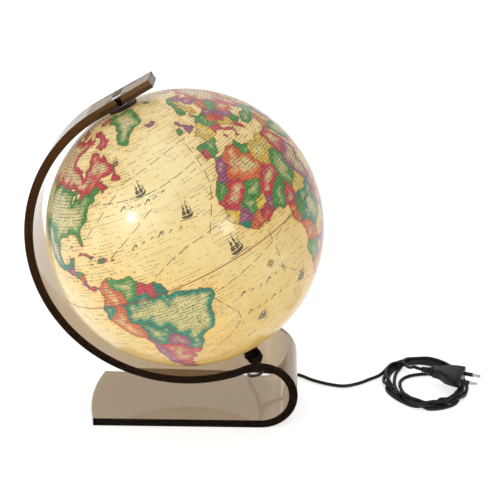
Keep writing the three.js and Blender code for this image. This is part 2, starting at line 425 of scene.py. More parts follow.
def cord_line():
    """The whole lead, with its turns drawn just as wide as its length asks for."""
    start = [tuple(along_axis(d) / MM) for d in (-190.3, -197)]
    route = start + [(94.5, 9, 37), (89, 27, 23), (80.5, 42, 13.4), (79.5, 53, 11.4), (90, 63, 7),
                     (112, 68, 2.2), (138, 65, 2.2), (156, 53, 2.2), (176, 44, 2.2), (193, 41, 2.2),
                     (211, 48, 2.2), (226, 59, 2.2), (239, 68, 2.2)]
    last = [(249, 84, 12), (260, 92.5, 15), (270, 84, 17.5), (274, 68, 18.8),
            tuple(plug_point(-12, 0.3, 0.2)), tuple(plug_point(-6))]
    low, high = 0.85, 1.15
    for _ in range(9):
        spread = (low + high) / 2
        line = through(route + coil_turns(spread)[2:] + last, 3.0)
        low, high = (spread, high) if length_of(line) < CORD_LENGTH else (low, spread)
    held = int(np.argmin(np.linalg.norm(line - np.array(route[-2]), axis=1)))
    return evenly(settle(line, held), 2.2)


def swept(name, line, radius, sides, material, body):
    """A closed tube round a line in metres, its section carried along without twist."""
    points = [Vector(p) for p in line]
    side = None
    vertices, faces = [], []
    for i, p in enumerate(points):
        forward = (points[min(i + 1, len(points) - 1)] - points[max(i - 1, 0)]).normalized()
        if side is None:
            side = forward.orthogonal().normalized()
        side = (side - forward * side.dot(forward)).normalized()
        other = forward.cross(side)
        for k in range(sides):
            a = 2 * math.pi * k / sides
            vertices.append(p + side * (radius * math.cos(a)) + other * (radius * math.sin(a)))
    for i in range(len(points) - 1):
        for k in range(sides):
            a, b = i * sides + k, i * sides + (k + 1) % sides
            faces.append((a, b, b + sides, a + sides))
    faces.append(tuple(reversed(range(sides))))
    faces.append(tuple(range((len(points) - 1) * sides, len(points) * sides)))
    return new_piece(name, vertices, faces, material, body)


# ---------------------------------------------------------------- acrylic sheet
def sheet_line():
    """Mid-sheet stations from the arm's tip to the foot's end: x, z, normal and half width, in mm."""
    arm_r, off_x, off_z, loop_r, base = 161.0, -5.0, -5.5, 36.25, 188.0
    half_tip, half_loop, half_base, end_bulge, tip = 15.5, 47.5, 52.0, 7.0, 65
    arm_from, arm_to = math.radians(121), math.radians(297)
    loop_x = off_x + (arm_r + loop_r) * math.cos(arm_to)
    loop_z = off_z + (arm_r + loop_r) * math.sin(arm_to)
    line = []
    for i in range(13):
        s = tip * (1 - i / 13)
        line.append([off_x + arm_r * math.cos(arm_from) + math.sin(arm_from) * s,
                     off_z + arm_r * math.sin(arm_from) - math.cos(arm_from) * s,
                     math.cos(arm_from), math.sin(arm_from)])
    for i in range(145):
        a = arm_from + (arm_to - arm_from) * i / 144
        line.append([off_x + arm_r * math.cos(a), off_z + arm_r * math.sin(a), math.cos(a), math.sin(a)])
    start = arm_to - math.pi
    loop_top = None
    for i in range(1, 85):
        a = start + (-math.pi / 2 - start) * i / 84
        c, s = math.cos(a), math.sin(a)
        line.append([loop_x + loop_r * c, loop_z + loop_r * s, -c, -s])
        if i == 21:
            loop_top = len(line) - 1
    for i in range(1, 31):
        line.append([loop_x - base * i / 30, loop_z - loop_r, 0, 1])
    p = np.array(line)
    run = np.concatenate([[0], np.cumsum(np.hypot(np.diff(p[:, 0]), np.diff(p[:, 1])))])
    top = run[loop_top]
    width = np.where(run < top, half_tip + (half_loop - half_tip) * run / top,
                     half_loop + (half_base - half_loop) * (run - top) / (run[-1] - top))
    line = [list(row) + [w] for row, w in zip(line, width)]
    end_r = (half_base ** 2 + end_bulge ** 2) / (2 * end_bulge)
    for i in range(1, 25):
        a = math.asin(half_base / end_r) * (1 - i / 24.6)
        line.append([loop_x - base - (end_r * math.cos(a) - (end_r - end_bulge)), loop_z - loop_r, 0, 1,
                     end_r * math.sin(a)])
    return line


def acrylic_sheet(material):
    half = 4.75               # half the sheet's thickness
    vertices, faces = [], []
    line = sheet_line()
    for x, z, nx, nz, w in line:
        for side, out in ((-1, 1), (1, 1), (1, -1), (-1, -1)):
            vertices.append(CENTRE + Vector((x + nx * half * out, side * w, z + nz * half * out)) * MM)
    for i in range(len(line) - 1):
        for k in range(4):
            a, b = i * 4 + k, i * 4 + (k + 1) % 4
            faces.append((a, b, b + 4, a + 4))
    last = (len(line) - 1) * 4
    faces += [(0, 1, 2, 3), (last, last + 1, last + 2, last + 3)]
    sheet = new_piece("acrylic_sheet", vertices, faces, material, "stand")
    fix_faces(sheet)
    pin = turned("pin_hole", [(0, 150), (3.3, 150), (3.3, 161.2), (9.3, 167.2), (9.3, 172), (0, 172)],
                 material, "stand", 48)
    nipple = turned("nipple_hole", [(0, -150), (5.3, -150), (5.3, -180), (0, -180)], material, "stand", 48)
    for cutter in (pin, nipple):
        hole = sheet.modifiers.new("hole", "BOOLEAN")
        hole.operation, hole.object, hole.solver = "DIFFERENCE", cutter, "EXACT"
        finish_modifiers(sheet)
        bpy.data.objects.remove(cutter)
    soften_edges(sheet, 0.0006, 2, 50)
    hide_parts("acrylic_stand")


def acrylic_material():
    m = Material("smoked_acrylic")
    place = m.place()
    scuffs = m.noise(900, 3, 0.6, place)
    haze = m.noise(14, 3, 0.5, place)
    m.set(Base_Color=m.mix(haze.ramp(0.35, 0.7), (1.0, 1.0, 1.0), (0.975, 0.965, 0.95)),
          Transmission_Weight=1.0, IOR=1.49, Specular_Tint=(0.24, 0.18, 0.13),
          Roughness=(haze * 0.05 + scuffs * 0.03 - 0.02).highest(0.0))
    absorb = m.tree.nodes.new("ShaderNodeVolumeAbsorption")
    absorb.inputs["Color"].default_value = (0.45, 0.27, 0.0, 1)
    absorb.inputs["Density"].default_value = 118
    m.tree.links.new(absorb.outputs[0], m.output.inputs["Volume"])
    return m.material


# ---------------------------------------------------------------- the map on the globe
# Outlines are rounded longitude, latitude pairs; the small bays and capes are added by roughen().
LANDS = """
-77.4 8.6 -75.5 10.5 -74.8 11.1 -72 12.2 -71.4 11 -71.6 9.1 -71 10.9 -70 12.1 -69.8 11.4 -68.2 10.6
-66 10.6 -64.5 10.2 -62 10.7 -61 9.8 -60.8 8.4 -58.4 7 -57 5.9 -54 5.8 -52.5 4.8 -51.3 4.2 -50.5 1.8
-50 0.2 -51.3 -1 -48.5 -0.7 -47.2 -0.8 -44.5 -2 -41.5 -2.9 -39 -3.2 -37 -4.8 -35.4 -5.2 -34.8 -7.3
-35 -9 -37 -11 -38.4 -13 -39 -15.5 -39.2 -17.8 -40 -20 -41 -22 -43.2 -23 -46.8 -24.3 -48.5 -26
-48.6 -28.3 -50.3 -30.3 -52.3 -33 -53.8 -34.5 -56 -34.9 -58.3 -34 -57.2 -35.8 -58 -38.2 -62 -39
-62.3 -40.7 -65 -41 -63.8 -42.6 -65.3 -44.8 -67.4 -46 -65.8 -47.6 -68.9 -50.3 -68.4 -52.4 -65.2 -54.7
-68.5 -55.5 -72 -54 -74.5 -52 -75.5 -48 -74.3 -44 -73.8 -40 -73.4 -37 -71.6 -33 -71.4 -29 -70.4 -25
-70.3 -18.4 -72 -17 -76.2 -14 -77.2 -12 -79 -8 -81 -6 -81.3 -4.5 -80 -3 -81 -1 -80 0.8 -78.9 1.4
-77.3 4 -77.8 7.2
/ -77.2 8.3 -79.5 9.5 -82 9.2 -83.6 10.9 -83.2 15 -86 15.9 -88.5 15.8 -88.2 18 -87.5 20.5 -87 21.5
-90.3 21.2 -90.7 19.5 -94.5 18.2 -96.2 19.2 -97.7 22.2 -97.3 26 -97 28 -95 29 -90 29.1 -89 30.3
-86 30.4 -84 30 -82.8 28 -81.8 26 -80.4 25.2 -80.1 27 -81.4 30.5 -79 33 -75.6 35.3 -76 37 -75 38.5
-73.8 41 -70 41.8 -70.7 43.2 -68 44.5 -66 45.2 -65.5 43.5 -61 45.6 -65 47.5 -64.5 49 -68 48.6 -66 50.2
-60 50.2 -56 51.6 -55.6 53 -58 54.7 -61 56 -62.5 58.5 -64.6 60.3 -67 58.5 -69.5 61 -73 62.2 -78 62.5
-77.3 60 -78.5 58.7 -76.6 57 -77 55.6 -79.5 54.6 -79 52 -80 51.3 -82.2 53 -82.3 55 -85 55.3 -88 56.6
-92.5 57 -94.5 59 -94 61.5 -91 63.2 -87.5 64.3 -86.5 66.3 -82 66.5 -81.5 69 -85.5 69.6 -88 68.5
-91.5 69.6 -94 71.8 -96 70 -98 68 -105 68.5 -115 68 -125 70 -135 69 -141 69.7 -156.5 71.2 -163 69.5
-166 68.3 -162 66.5 -168 65.5 -161 64.5 -165 62.5 -162 59 -158 58 -165 54.5 -157 56.5 -153 58.5
-146 60.8 -140 59.8 -135 58 -131 55 -128 51.5 -123.5 49 -124.5 47 -124 42 -122.4 37.5 -120.6 34.5
-117.2 32.7 -115 29.5 -112 25.5 -110 23 -110.5 25 -112.8 28.5 -114.8 31.6 -112.5 30 -110 27
-106.5 23.5 -105.3 20.5 -102 18 -98 16.3 -95 16 -92.3 14.6 -88 13.2 -86 11.5 -85.7 10 -83.5 8.5
-81.5 7.5 -80 7.3 -79 8.9 -78 7.8
/ -73 78 -68 80 -60 82 -45 82.5 -32 83.5 -20 82.5 -12 81.5 -18 80 -19 77 -20 74 -22 72 -22 70.3
-26 68.5 -32 68 -38 65.7 -41 63.5 -43 60.2 -46 60.6 -49 61.5 -52 64.5 -53.5 67 -51 69.5 -54 70.8
-55 72.5 -58 75 -63 76.3 -69 76
/ -61.5 66.5 -64 63.5 -68 62.6 -72 64 -76 64.5 -73 67.5 -78 70 -85 70 -90 73 -81 73.7 -77 72.8
-71 71 -67.5 69.3 -62 67 / -77 76.5 -89 76.4 -95 79 -85 82 -70 83 -62 82.3 -70 80 -76 78.5
/ -105 73 -117 73.2 -118 71 -105 69 -101.5 70 -104 72 / -125 72 -123 74.4 -117 73.3 -120 71.6
/ -59.2 47.7 -57 51 -55.5 51.5 -56 50 -53.5 48.5 -53 46.8 -55.5 46.9
/ -24 65.5 -22.5 66.4 -20 65.8 -16 66.4 -14 65 -16 64 -19 63.4 -22.6 63.9 -22 64.8
/ -84.8 21.9 -82.5 23.1 -79.5 22.7 -77 21.4 -74.2 20.2 -77.5 19.9 -78 20.8 -81.8 22.3
/ -74.4 18.5 -73 19.8 -70 19.8 -68.4 18.6 -71 17.9 / -67.2 18.4 -65.7 18.5 -65.8 17.9 -67.2 17.9
/ -78.3 18.5 -76.3 18.2 -76.9 17.8 -78.2 18.1
/ -5.5 50.1 -3 51.2 -5 51.7 -4.5 53.3 -3 54.5 -5 55.5 -5.8 57.5 -4.8 58.6 -3.1 58.6 -2 57.5 -3.2 56
-1.5 55 0.2 53 1.7 52.6 1.3 51.2 -1.5 50.6 -3.5 50.3 / -10 51.6 -9.8 54 -8 55.1 -6 55 -6.1 53.2 -6.5 52.2
/ -5.9 35.8 -2 35.2 3 36.9 9.8 37.3 10.2 34.2 11.2 33.2 15.2 32.3 19 30.3 20.2 32 23 32.6 25 31.6
29 30.9 32.3 31.2 34.4 31.3 34.9 29.6 33.4 28.4 33.8 27 35.5 24 37.2 21 37.3 19 39.5 15.5 43 12
43.3 11.4 46 10.7 51.2 11.8 50 8 48 4.5 45 2 42 -1 40.2 -2.8 39.3 -5 39.4 -8 40.6 -10.8 40.6 -15
37 -17.7 34.8 -20 35.5 -24 32.8 -26 32.5 -28.5 30.5 -31 27.5 -33.3 25.7 -34 20 -34.8 18.4 -34.2
18.2 -32 16.5 -28.6 14.8 -25 14.4 -22.5 12 -18 11.8 -15.8 13.7 -12 13.2 -8.8 12.2 -6 9.6 -2.5
8.8 -0.8 9.5 1 9.7 3.8 8.9 4.5 7 4.4 6 4.3 4.5 6.3 1.2 6.1 -2 4.8 -4.5 5.2 -7.5 4.4 -9 5 -11.4 6.9
-13.2 8.9 -15 11 -16.8 12.5 -17.4 14.7 -16.4 16.5 -16.2 19 -17 21 -16.3 23.5 -14.8 25.8 -13 27.8
-11 28.8 -9.8 30 -9.5 32 -8 33.5 -6.8 34.2
/ -5.6 36 -6.4 36.8 -8.9 37 -9.4 38.8 -8.8 41 -9.2 43.2 -8 43.7 -3.8 43.5 -1.6 43.4 -1.2 45.5 -2.2 47
-4.6 48 -1.5 48.7 -1.8 49.7 0.1 49.5 1.6 50.6 4 51.8 4.8 53 7 53.6 8.8 53.9 8.1 55.6 8.5 57
10.5 57.6 10.3 56 10.9 54.2 14.2 54 18.5 54.7 21 55.3 21.2 57.2 24.2 57.2 23.5 59.2 28 59.6
29.9 60 25 60.2 22.8 59.9 21.3 61 21.5 63 25.3 65 22 65.7 17.8 62.5 17.2 61 18.8 59.8 16.5 57.5
14.5 55.6 12.9 55.5 11.3 58.8 10.5 59.3 8 58.1 5.6 58.9 5 61.5 9 63.7 13 66 15.5 68.5 19 69.8
25.5 71 31 70.3 41 67.5 40 66.3 33 66.7 35 64.3 38 64 44 66 44 68.5 54 68.4 60 69 68 68.5 67 71.5
73 72.8 73 68 80 72.5 87 75 104 77.6 113 74 130 71 140 72.6 160 69.7 175 69.8 180 68.9 190 66
180 64.5 177 62.5 170 60 163 59.5 162 56 157 51.2 156 56 163 61.5 155 59.3 143 59.3 135 54.8
141 53 140 48.5 135.5 44.3 130.5 42.5 127.6 39.8 129.4 37 129 35.2 126.4 34.5 126.6 37.5
124.5 39.8 121.5 39 121.8 40.8 117.8 39 119 37.5 122.5 37 119.3 34.8 121.8 31.5 121.5 28.5
118 24.5 114 22.3 110 21 108 21.6 106 19 109 13 106.8 10.3 105 8.7 105 10.4 102.5 12 100.5 13.5
99.3 10 103.4 4.5 103.8 1.4 101 3 98.3 8 98.6 13 97.5 16.5 94.3 16 94 19 91.5 22.6 87 21.5
82.3 16.7 80.2 15 79.9 10.3 77.5 8.1 76.2 10 73 17 72.8 21 70.5 20.8 69 22.3 67 24.5 61.5 25.2
57 26.9 54 26.6 50.3 30 48 30 50 26.7 51.5 25.5 52 24 56.3 26 57 23.8 59.8 22.4 57.5 18.9 55 17
52 15.7 45 12.8 43.4 12.8 42.6 16.3 39 21.3 35 28 34.6 29.5 34.2 31.3 35.8 35.5 36.2 36.7
32.5 36.1 30.5 36.6 27.5 36.8 26.3 39.3 29 41 31.3 41.2 35 42 38 41 41.5 41.6 39 44 37.5 45
39.3 47.2 35 46.2 33.5 44.5 32.5 46.1 30.5 46.3 28.6 44 28 42 29 41.2 26.3 40.7 24 40.5
22.8 40.2 24 38 22.7 36.6 21.2 38.3 19.4 41.3 16 43.5 13.8 45.2 12.4 44.3 14 42.5 16 41.7
18.4 40.2 16.9 40.4 16.6 38.8 15.8 38 15.6 40 12.3 41.8 10.3 43.5 8.8 44.4 6.5 43.1 3.2 43.2
3.2 41.8 0.5 40.6 -0.2 39 -2.1 36.8 -4.5 36.7
/ 12.5 38 15.5 38.2 15 36.8 / 8.3 41 9.6 41 9.5 39.2 8.5 39 / 11 79 16 76.8 22 78.5 26 80 15 80
/ 52 71 57 71 69 77 60 76 / 49.3 -12 50.4 -15.8 47.1 -25 43.7 -23.5 44.4 -16.5
/ 114 -22 113.7 -26 115.7 -31.7 115 -34.3 118 -35 123.5 -34 129 -31.6 134 -33 137.5 -35.5 140 -38
146.3 -39 150 -37.4 153.5 -28.5 150.5 -23 146 -19 145.3 -15 142.6 -10.8 140.8 -17.5 137 -16
136.8 -12.2 132.5 -11.5 129.5 -15 125.5 -14.3 122.2 -18
/ 109 1.5 113 3.2 117 7 119 5 117.5 1 116 -4 110.2 -3 / 95.3 5.6 104 -1 106 -5.8 101 -3 98 2
/ 131 -0.8 135 -3.4 141 -2.6 147 -6 150.5 -10.5 144 -7.7 138 -8.3 133 -4
/ 130 31.3 131 34 136 36 139.5 39.5 141.4 45 145 43.5 141.8 39 140.7 35.8 135.7 33.5
/ 172.7 -34.5 178.4 -37.7 175 -41.5 171 -44 168.4 -46.6 166.5 -46 171.5 -42 174.7 -39
/ 80 9.7 81.8 7.5 80.5 6 79.8 8 / 120.5 18.4 122.3 18.3 124 13 126 7 122 7 120.5 14
/ -180 -78 -160 -77 -140 -75 -100 -73 -75 -73 -60 -64 -60 -74 -30 -78 -10 -70 30 -69 60 -67 90 -66
130 -66 165 -71 165 -78 180 -78 180 -91 -180 -91
"""
SEAS = "47.5 45 51 46.8 53 45 50.5 44 53 41 54 37.3 50 37.3 49 41 47.5 43 / -88 48.4 -85 46.7 -90 46.9 " \
       "/ -87.7 42 -86.3 42 -85.2 45.6 -87.5 45 / -82.5 43.2 -81.5 44.5 -80.2 44.6 -81 46 -84 45.7"
INKS = {
    "teal": linear(0, 132, 100), "green": linear(64, 146, 62), "yellow": linear(230, 190, 70),
    "orange": linear(222, 104, 56), "red": linear(206, 56, 68), "purple": linear(160, 78, 118),
    "bare": linear(232, 226, 200),
}
# Each land: its ink, then places inside it as longitude, latitude pairs.
STATES = """
teal -60 0 -67 -1 -69 -6 -64 -6 -57 -4 -51 0 -46 -4 -39 -7 -36 -7 -42 -12 -49 -10 -56 -12 -61 -11 -54 -17
 -47 -18
 -41 -19 -50 -23 -51 -27 -54 -30
/ green -66 8 -63 6.5 -70 9 -66 4 -62 8.5 / red -59 5 / red -56 4 / teal -53 4
/ orange -73 6 -73 2 -75 8 -70 3 -76 3 / teal -78 -1.5 / orange -76 -7 -74 -4 -73 -12 -71 -15 -75 -13
/ teal -65 -17 -66 -14 -64 -20 -61 -17 / purple -59 -22 -57 -25 / red -56 -33
/ red -64 -26 -64 -31 -60 -31 -66 -36 -61 -36 -68 -42 -69 -47 -60 -28
/ purple -70.3 -21 -70.5 -27 -71 -31 -71.8 -36 -72.5 -41 -73.5 -46 -72.5 -51
/ teal -102 24 -100 19 -106 28 -97 18 -90 19.5 -112 29 / purple -90.3 15 / green -86.5 15
/ orange -85 12.5 / purple -84 10 / red -80.5 8.5
/ green -80 35 -90 35 -100 38 -110 38 -118 40 -75 42 -85 42 -95 45 -105 46 -118 46 -97 30 -82 30 -69 45
/ green -150 65 -158 61 -145 67
/ red -72 48 -80 48 -66 47.5 -62 53 -72 56 -90 51 -100 52 -110 53 -120 54 -125 60 -110 62 -98 62 -110 68
 -75 68
 -85 78 -128 67 -56 49 -68 60 -95 70
/ red -79 22 / green -72.8 19 / purple -70 19 / orange -66 18 / teal -77 18
/ green -42 62 -45 68 -40 75 -30 70 -55 78 -30 80 -60 80 / purple -19 65 / purple -2 53 -4 57 / green -8 53
/ green -4 40 -6 42 0 41 -4 37.8 / red -8 39.5 / yellow 2 47 4 45 0 45 -2 48.3 5 48 / green 10 51 12 53 11 49
/ purple 19 52 / red 12 43 15 41 9 45 14 37.5 / green 9 61 14 66.5 22 69.7 / yellow 15 61 14 58 19 66
/ purple 26 63 27 67
/ red 40 57 50 57 60 60 35 65 45 64 70 62 90 62 110 62 130 62 150 65 170 66 45 48 55 53 135 50 158 55
/ orange 32 49 / green 28 53.5 / orange 25 57 / purple 25 46 / yellow 20 44 16 45 / red 22 39.5 / green
 25 42.6
/ red 19 47 / orange 15.5 49.8 / green 33 39 39 39 29 39 / yellow 65 48 75 48 55 48 / orange 104 47
/ yellow 105 35 115 35 90 33 85 42 125 45 110 27 120 30 95 38 / red 78 23 77 28 80 17 77 12 90 25 / green
 68 30
/ orange 66 34 / purple 55 33 60 30 50 33 / yellow 43.5 33 / green 45 24 42 27 50 20 / orange 47 15.5
/ purple 57 21 / orange 38 34.5 / green 96 21 / orange 101 15 / purple 107 14 105 21 / red 102 4 114 3
/ green 102 -2 113 -2 120 -2 138 -4 / orange 122 15 125 8 / red 137 36 131 33 142 43 / green 127.5 37
/ red 121 -26 / yellow 133 -19 / purple 135 -30 / green 145 -23 / orange 147 -32 / green 172 -42 176 -38
/ orange 144 -6 / green 47 -19 / bare 0 -80 90 -75 -90 -80 180 -85 -150 -80 60 -72 130 -70 -60 -70
/ purple -6 32.5 -9 29.7 / green -13 25 / orange 3 28 -1 31 4 35 6 25 2 23 -4 28 / green 9.5 34.5
/ yellow 17 28 21 29 15 24 / red 29 27 32 24 / red -10 20 -13 18 -7 22 / green -2 17 -6 14 0 19
/ red 9 17 12 19 4 15 / green 18 15 18 20 18 11 / purple 30 15 30 10 34 18 32 8 / yellow 39 9 43 7
/ green 45 4 48 9 / orange 38 1 / purple 32.5 1.5 / red 35 -6 / green 8 9 5 8 11 11 / purple 2.3 9.5 /
 red -1.2 8
/ orange -5.5 7.5 / yellow -1.5 12.5 / purple -11 11 / teal -12 8.3 / orange -9.5 6.4 / yellow -14.5 14.5
/ red 12 5.5 14 9 / yellow 20 7 24 6 / green 15.5 -0.5 / orange 11.5 -0.8
/ teal 23 -3 18 -4 27 -8 20 2 27 2 24 -9 / orange 17 -12 19 -15 15 -9 / yellow 26 -14 30 -12
/ teal 36 -16 34 -20 38 -13 / red 30 -19 / purple 24 -22 / green 17 -22 17 -18 / orange 22 -31 27 -29 30
 -25 20 -29
"""


def outlines(text):
    rings = []
    for part in text.split("/"):
        values = [float(v) for v in part.split()]
        rings.append(np.array(values).reshape(-1, 2))
    return rings


def roughen(ring, step=0.45):
    """Splits each side in half again and again, pushing the new points off it by a seeded amount."""
    points = [tuple(p) for p in ring]
    stretch = 0.085
    while True:
        longest = 0
        made = []
        for a, b in zip(points, points[1:] + points[:1]):
            made.append(a)
            run_x = (b[0] - a[0]) * math.cos(math.radians(min(85, abs(a[1] + b[1]) / 2)))
            size = math.hypot(run_x, b[1] - a[1])
            if size > step and abs(a[1]) < 84:
                longest = max(longest, size)
                push = RNG.normal() * stretch
                push = max(-0.2, min(0.2, push))
                wide = 1 / math.cos(math.radians(min(80, abs(a[1]))))
                made.append(((a[0] + b[0]) / 2 - (b[1] - a[1]) * push * wide,
                             (a[1] + b[1]) / 2 + run_x * push))
        points = made
        if longest <= step * 2:
            return np.array(points)


def on_ball(lon, lat):
    lon, lat = np.radians(lon), np.radians(lat)
    return np.stack([np.cos(lat) * np.cos(lon), np.cos(lat) * np.sin(lon), np.sin(lat)], axis=-1)


def inside(rings, lons, lats):
    """Whether each place of a longitude, latitude grid is inside any ring."""
    found = np.zeros((len(lats), len(lons)), bool)
    for ring in rings:
        nxt = np.roll(ring, -1, axis=0)
        for shift in (0, -360):
            for row, lat in enumerate(lats):
                cross = (ring[:, 1] > lat) != (nxt[:, 1] > lat)
                if not cross.any():
                    continue
                a, b = ring[cross], nxt[cross]
                at = np.sort(a[:, 0] + (lat - a[:, 1]) * (b[:, 0] - a[:, 0]) / (b[:, 1] - a[:, 1]) + shift)
                found[row] |= np.searchsorted(at, lons) % 2 == 1
    return found


def shoreline(rings, spacing=0.2):
    """Points close together along the rings."""
    points = []
    for ring in rings:
        nxt = np.roll(ring, -1, axis=0)
        for a, b in zip(ring, nxt):
            count = max(1, int(np.hypot(*(b - a)) * math.cos(math.radians(min(80, abs(a[1])))) / spacing))
            t = np.arange(count)[:, None] / count
            points.append(a + (b - a) * t)
    points = np.vstack(points)
    return on_ball(points[:, 0], points[:, 1])


def wander(p, size, scale, seed):
    """A smooth seeded push for points on the ball."""
    rng = np.random.default_rng(seed)
    out = np.zeros_like(p)
    for k in range(7):
        along = rng.normal(size=3) * scale * (1 + 0.6 * k)
        away = rng.normal(size=3)
        out += np.sin(p @ along + rng.uniform(0, 6.28))[:, None] * away * size / (1 + 0.6 * k)
    q = p + out
    return q / np.linalg.norm(q, axis=1)[:, None]


BATCH = 20000             # places worked out together
FAR_OFF = 9               # more than any distance between two places on a ball of radius 1
WALL = 2                  # mm, the shell's wall


class Atlas:
    """What is printed where: how far the coast and the borders are, and the ink of each state."""

    def __init__(self):
        self.lands = [roughen(r) if len(r) > 17 else roughen(r, 0.8) for r in outlines(LANDS)]
        self.seas = [roughen(r, 0.8) for r in outlines(SEAS)]
        shore = shoreline(self.lands + self.seas)
        self.tree = KDTree(len(shore))
        for i, p in enumerate(shore):
            self.tree.insert(p, i)
        self.tree.balance()
        seeds, owner, ink = [], [], []
        for index, text in enumerate(STATES.split("/")):
            words = text.split()
            for lon, lat in np.array(words[1:], float).reshape(-1, 2):
                seeds.append(on_ball(lon, lat))
                owner.append(index)
                ink.append(INKS[words[0]])
        self.seeds, self.owner, self.ink = np.array(seeds), np.array(owner), np.array(ink)

    def chart(self, lons, lats):
        grid_lon, grid_lat = np.meshgrid(lons, lats)
        p = on_ball(grid_lon.ravel(), grid_lat.ravel())
        land = inside(self.lands, lons, lats) & ~inside(self.seas, lons, lats)
        coast = np.array([self.tree.find(q)[2] for q in p]) * R
        coast = np.where(land.ravel(), coast, -coast)
        q = wander(wander(p, 0.010, 14, 3), 0.004, 46, 4)
        first_tint = np.zeros((len(p), 3))
        border = np.zeros(len(p))
        for start in range(0, len(p), BATCH):
            part = q[start:start + BATCH]
            far = np.linalg.norm(part[:, None, :] - self.seeds[None, :, :], axis=2)
            nearest = far.argmin(axis=1)
            mine = self.owner[nearest]
            others = np.where(self.owner[None, :] == mine[:, None], FAR_OFF, far)
            second = others.min(axis=1)
            first_tint[start:start + BATCH] = self.ink[nearest]
            border[start:start + BATCH] = (second - far.min(axis=1)) / 2 * R
        return coast, border, first_tint


def half_globe(name, node, atlas, material, north, pole_hole, columns=600, rows=150):
    """One half of the shell, printed outside and plain inside, from the equator joint to its pole hole."""
    low = 0.15                # mm from the equator's plane to the half's edge
    sign = 1 if north else -1
    first, last = math.degrees(math.asin(low / R)), math.degrees(math.acos(pole_hole / R))
    lats = np.linspace(first, last, rows + 1) * sign
    lons = -180 + 360 * np.arange(columns) / columns
    coast, border, tint = atlas.chart(lons, lats)
    inner_rows = 8
    inner = R - WALL
    inner_first, inner_last = math.degrees(math.asin(low / inner)), math.degrees(math.acos(pole_hole / inner))
    inner_lats = np.linspace(inner_last, inner_first, inner_rows + 1) * sign
    grid_lon, grid_lat = np.meshgrid(lons, np.concatenate([lats, inner_lats]))
    radius = np.concatenate([np.full(len(lats), R), np.full(len(inner_lats), inner)])[:, None] * MM
    lon, lat = np.radians(grid_lon - FACING), np.radians(grid_lat)
    x, y, z = np.cos(lat) * np.sin(lon), -np.cos(lat) * np.cos(lon), np.sin(lat)
    c, s = math.cos(TILT), math.sin(TILT)
    place = np.stack([(x * c - z * s) * radius + CENTRE.x, y * radius + CENTRE.y,
                      (x * s + z * c) * radius + CENTRE.z], axis=-1).reshape(-1, 3)
    levels = rows + 1 + inner_rows + 1
    i, j = np.meshgrid(np.arange(levels), np.arange(columns), indexing="ij")
    here, right = i * columns + j, i * columns + (j + 1) % columns
    up, cross = ((i + 1) % levels) * columns + j, ((i + 1) % levels) * columns + (j + 1) % columns
    loop = [here, right, cross, up] if north else [here, up, cross, right]
    faces = np.stack(loop, axis=-1).reshape(-1, 4)
    mesh = bpy.data.meshes.new(name)
    mesh.vertices.add(len(place))
    mesh.vertices.foreach_set("co", place.ravel())
    mesh.loops.add(faces.size)
    mesh.loops.foreach_set("vertex_index", faces.ravel())
    mesh.polygons.add(len(faces))
    mesh.polygons.foreach_set("loop_start", np.arange(0, faces.size, 4))
    mesh.polygons.foreach_set("use_smooth", np.ones(len(faces), bool))
    mesh.update(calc_edges=True)
    mesh.validate()
    rest = len(place) - len(coast)
    for key, values, plain in (("coast", coast, -60.0), ("border", border, 60.0)):
        field = mesh.attributes.new(key, "FLOAT", "POINT")
        field.data.foreach_set("value", np.concatenate([values, np.full(rest, plain)]).astype(np.float32))
    field = mesh.attributes.new("tint", "FLOAT_COLOR", "POINT")
    colour = np.ones((len(place), 4), np.float32)
    colour[:len(tint), :3] = tint
    field.data.foreach_set("color", colour.ravel())
    mesh.materials.append(material)
    piece = bpy.data.objects.new(name, mesh)
    bpy.context.collection.objects.link(piece)
    mark_sharp(piece, 40)
    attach(piece, "globe")
    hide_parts(node)


